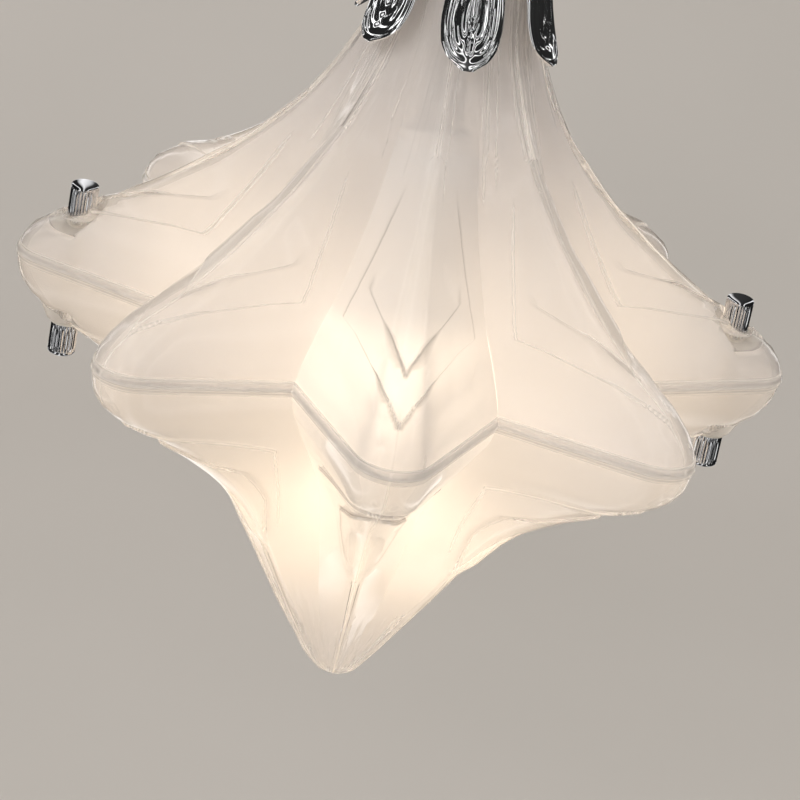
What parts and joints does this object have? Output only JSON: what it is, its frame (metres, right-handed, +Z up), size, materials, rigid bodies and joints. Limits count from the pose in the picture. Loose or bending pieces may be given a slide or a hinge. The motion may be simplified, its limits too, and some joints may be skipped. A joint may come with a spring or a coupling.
{
  "type": "star pendant lamp",
  "caption": "Hanging lamp of two pressed frosted-glass star shells clamped together by knurled nuts, under a chrome leaf crown, with a lampholder and bulb inside.",
  "frame": {"origin": "top end of the threaded stem, on its axis, where the lamp is hung", "axes": "+Z up along the stem; +X through the right-hand clamp"},
  "size_m": [0.3514, 0.3514, 0.3805],
  "materials": {
    "frosted_glass": "satin-frosted pressed glass, lightly pearled",
    "bowl_glass": "satin-frosted pressed glass, warmer",
    "clear_plastic": "clear acrylic",
    "zinc_steel": "zinc-plated thread",
    "chrome": "polished chrome plate",
    "rubber": "soft matt rubber",
    "holder_plastic": "moulded white",
    "ceramic": "white glaze",
    "brass": "stamped",
    "solder_tip": "dull solder",
    "black_glass": "glossy black insulator",
    "bulb_cap_metal": "rolled thread",
    "bulb_plastic": "white moulding",
    "opal_diffuser": "opal, lit warm white"
  },
  "bodies": {
    "root": {"upper_glass": "frosted_glass", "clamp_studs": "zinc_steel", "upper_sleeves": "clear_plastic", "top_washers": "clear_plastic", "stem_tube": "zinc_steel", "leaf_crown": "chrome", "crown_nut": "chrome", "upper_gasket": "rubber", "lower_gasket": "rubber", "spreader_disc": "zinc_steel", "inner_nut": "zinc_steel", "holder_cap": "holder_plastic", "holder_skirt": "holder_plastic", "holder_insert": "ceramic", "holder_screw_shell": "brass", "holder_contact": "brass", "terminal_screws": "brass"},
    "bowl": {"lower_glass": "bowl_glass", "lower_sleeves": "clear_plastic", "bottom_washers": "clear_plastic"},
    "bulb": {"bulb_contact": "solder_tip", "bulb_insulator": "black_glass", "bulb_screw_shell": "bulb_cap_metal", "bulb_body": "bulb_plastic", "bulb_diffuser": "opal_diffuser"},
    "top_nut_left": {"top_nut_left": "chrome"},
    "top_nut_right": {"top_nut_right": "chrome"},
    "bottom_nut_left": {"bottom_nut_left": "chrome"},
    "bottom_nut_right": {"bottom_nut_right": "chrome"}
  },
  "joints": [
    {"name": "bowl_drop", "type": "slide", "parent": "root", "child": "bowl", "axis": [0, 0, -1], "range_m": [0, 0.2]},
    {"name": "bulb_turn", "type": "hinge", "parent": "root", "child": "bulb", "pos_m": [0, 0, -0.15], "axis": [0, 0, 1], "continuous": true},
    {"name": "top_nut_left_turn", "type": "hinge", "parent": "root", "child": "top_nut_left", "pos_m": [-0.149, 0, -0.165], "axis": [0, 0, 1], "continuous": true},
    {"name": "top_nut_right_turn", "type": "hinge", "parent": "root", "child": "top_nut_right", "pos_m": [0.149, 0, -0.165], "axis": [0, 0, 1], "continuous": true},
    {"name": "bottom_nut_left_turn", "type": "hinge", "parent": "bowl", "child": "bottom_nut_left", "pos_m": [-0.149, 0, -0.235], "axis": [0, 0, 1], "continuous": true},
    {"name": "bottom_nut_right_turn", "type": "hinge", "parent": "bowl", "child": "bottom_nut_right", "pos_m": [0.149, 0, -0.235], "axis": [0, 0, 1], "continuous": true}
  ]
}
